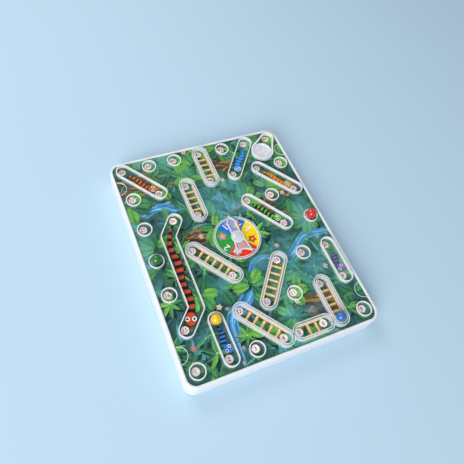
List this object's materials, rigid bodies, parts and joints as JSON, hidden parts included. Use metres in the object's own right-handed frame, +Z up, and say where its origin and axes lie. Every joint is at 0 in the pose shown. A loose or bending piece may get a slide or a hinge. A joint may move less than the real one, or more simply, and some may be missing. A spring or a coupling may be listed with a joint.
{
  "type": "snakes and ladders board",
  "caption": "Flat board game: white tray, printed jungle card and clear cover with walled wells, ladder and snake slots for loose balls, with a spinning arrow in the middle.",
  "frame": {"origin": "centre of the tray's underside", "axes": "+X across the board to the right, +Y up the board from the first row of places to the last, +Z up out of the printed face"},
  "size_m": [0.14, 0.175, 0.0238],
  "materials": {
    "tray_plastic": "moulded white polystyrene, satin",
    "card": "printed and varnished",
    "clear_plastic": "clear, polished",
    "frosted_plastic": "frosted",
    "pin_plastic": "polished white",
    "arrow_plastic": "translucent white, polished",
    "red_plastic": "polished",
    "green_plastic": "polished",
    "yellow_plastic": "polished",
    "blue_plastic": "polished"
  },
  "bodies": {
    "base": {"tray": "tray_plastic", "printed_card": "card"},
    "cover": {"clear_cover": "clear_plastic", "finish_dish": "frosted_plastic", "spinner_pin": "pin_plastic"},
    "arrow": {"spinner_arrow": "arrow_plastic"},
    "red_ball": {"red_ball": "red_plastic"},
    "green_ball": {"green_ball": "green_plastic"},
    "yellow_ball": {"yellow_ball": "yellow_plastic"},
    "blue_ball": {"blue_ball": "blue_plastic"}
  },
  "joints": [
    {"name": "cover_lift", "type": "slide", "parent": "base", "child": "cover", "axis": [0, 0, 1], "range_m": [0, 0.04]},
    {"name": "arrow_spin", "type": "hinge", "parent": "cover", "child": "arrow", "pos_m": [0, 0, 0.0183], "axis": [0, 0, 1], "continuous": true},
    {"name": "red_ball_lift", "type": "slide", "parent": "cover", "child": "red_ball", "axis": [0, 0, 1], "range_m": [0, 0.03]},
    {"name": "green_ball_lift", "type": "slide", "parent": "cover", "child": "green_ball", "axis": [0, 0, 1], "range_m": [0, 0.03]},
    {"name": "blue_ball_climb", "type": "slide", "parent": "cover", "child": "blue_ball", "axis": [0, 1, 0], "range_m": [0, 0.02603]},
    {"name": "yellow_ball_slip", "type": "slide", "parent": "cover", "child": "yellow_ball", "axis": [0, -1, 0], "range_m": [0, 0.02603]}
  ]
}
